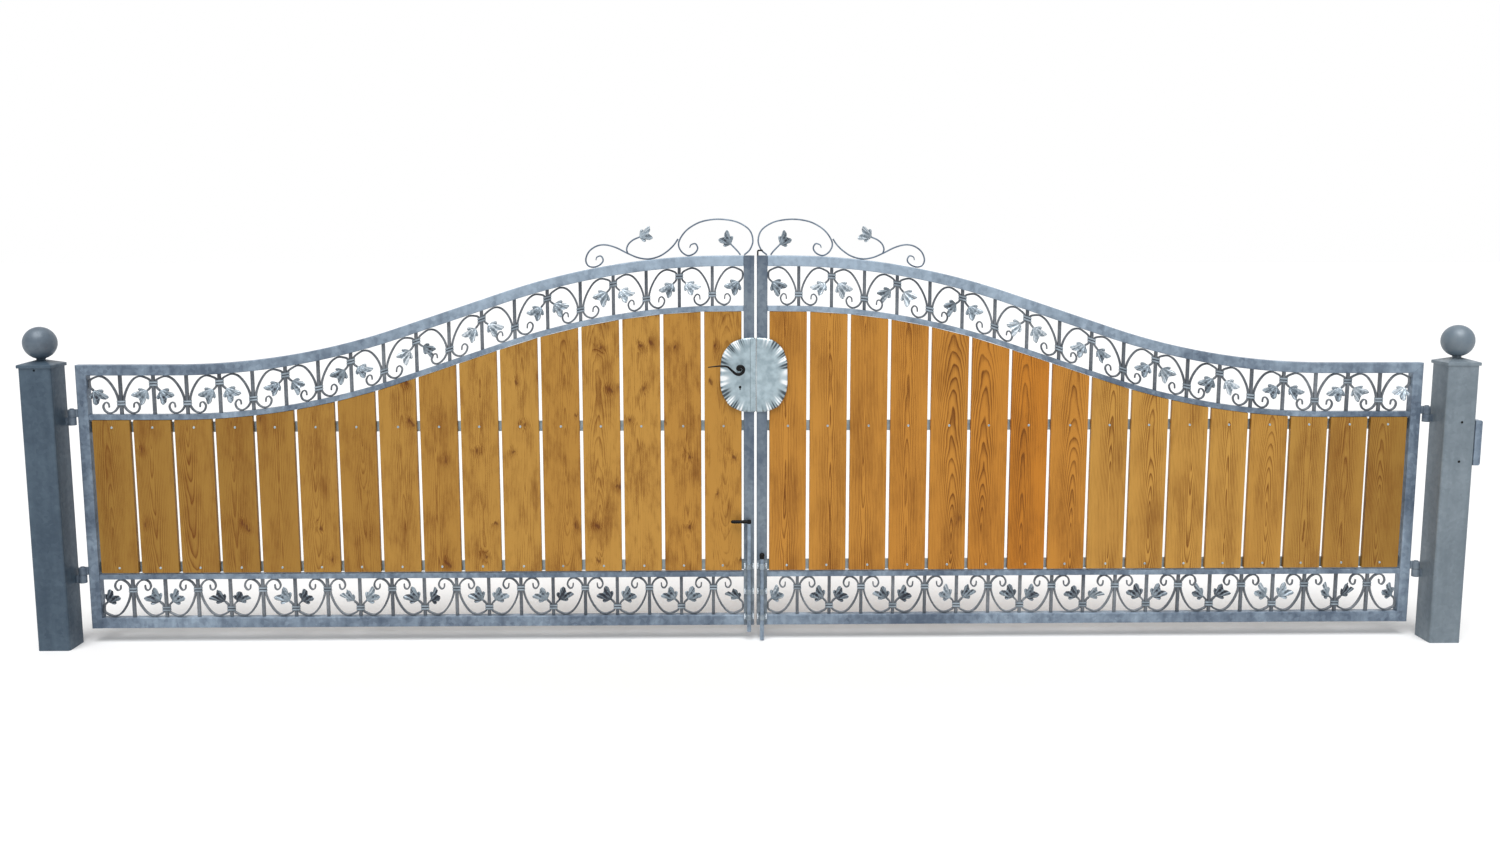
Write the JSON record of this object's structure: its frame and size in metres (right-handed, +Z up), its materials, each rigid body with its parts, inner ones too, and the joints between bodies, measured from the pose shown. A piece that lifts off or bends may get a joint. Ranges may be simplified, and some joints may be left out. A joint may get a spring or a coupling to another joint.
{
  "type": "double-leaf driveway gate",
  "caption": "Arched driveway gate: galvanised steel leaves with timber boards and scrolled friezes, ball-topped posts, lever lock and drop bolts.",
  "frame": {"origin": "middle of the left post's foot, at ground level", "axes": "+X along the closed gate to the right as seen from the inner side, +Y away from the inner side, +Z up"},
  "size_m": [5.484, 0.144, 1.6272],
  "materials": {
    "zinc": "hot-dip galvanised, dull blue-grey and mottled",
    "dark_zinc": "hot-dip galvanised, darker and grainy",
    "bright_zinc": "bright crinkled sheet",
    "larch": "oiled larch, golden brown with grain and knots",
    "black_iron": "black forged iron, satin"
  },
  "bodies": {
    "posts": {"left_post": "zinc", "right_post": "zinc", "left_cap": "zinc", "right_cap": "zinc", "left_ball": "zinc", "right_ball": "zinc", "left_hinge_lugs": "dark_zinc", "right_hinge_lugs": "dark_zinc", "lock_keep": "zinc"},
    "left_leaf": {"left_hinge_stile": "zinc", "left_lock_stile": "zinc", "left_top_rail": "zinc", "left_bottom_rail": "zinc", "left_flats": "zinc", "left_battens": "zinc", "left_boards": "larch", "left_bars": "dark_zinc", "left_scrolls": "dark_zinc", "left_fronds": "bright_zinc", "left_collars": "dark_zinc", "left_crest": "dark_zinc", "left_shield": "bright_zinc", "left_hinge_eyes": "dark_zinc", "left_bolt_guide": "zinc"},
    "right_leaf": {"right_hinge_stile": "zinc", "right_lock_stile": "zinc", "right_top_rail": "zinc", "right_bottom_rail": "zinc", "right_flats": "zinc", "right_battens": "zinc", "right_boards": "larch", "right_bars": "dark_zinc", "right_scrolls": "dark_zinc", "right_fronds": "bright_zinc", "right_collars": "dark_zinc", "right_crest": "dark_zinc", "right_shield": "bright_zinc", "right_hinge_eyes": "dark_zinc", "right_bolt_guide": "zinc", "stop_hook": "black_iron"},
    "lever": {"lever": "black_iron"},
    "left_bolt": {"left_bolt": "zinc", "left_grip": "black_iron"},
    "right_bolt": {"right_bolt": "zinc", "right_knob": "black_iron"}
  },
  "joints": [
    {"name": "left_leaf_swing", "type": "hinge", "parent": "posts", "child": "left_leaf", "pos_m": [0.081, 0.04, 0], "axis": [0, 0, -1], "range_deg": [0, 90]},
    {"name": "right_leaf_swing", "type": "hinge", "parent": "posts", "child": "right_leaf", "pos_m": [5.253, 0.04, 0], "axis": [0, 0, 1], "range_deg": [0, 90]},
    {"name": "lever_turn", "type": "hinge", "parent": "left_leaf", "child": "lever", "pos_m": [2.608, 0.02, 1.062], "axis": [0, -1, 0], "range_deg": [0, 40], "stiffness_Nm_per_rad": 0.8, "springref_deg": -34.38},
    {"name": "left_bolt_slide", "type": "slide", "parent": "left_leaf", "child": "left_bolt", "axis": [0, 0, 1], "range_m": [-0.033, 0.067]},
    {"name": "right_bolt_slide", "type": "slide", "parent": "right_leaf", "child": "right_bolt", "axis": [0, 0, 1], "range_m": [0, 0.1]}
  ]
}
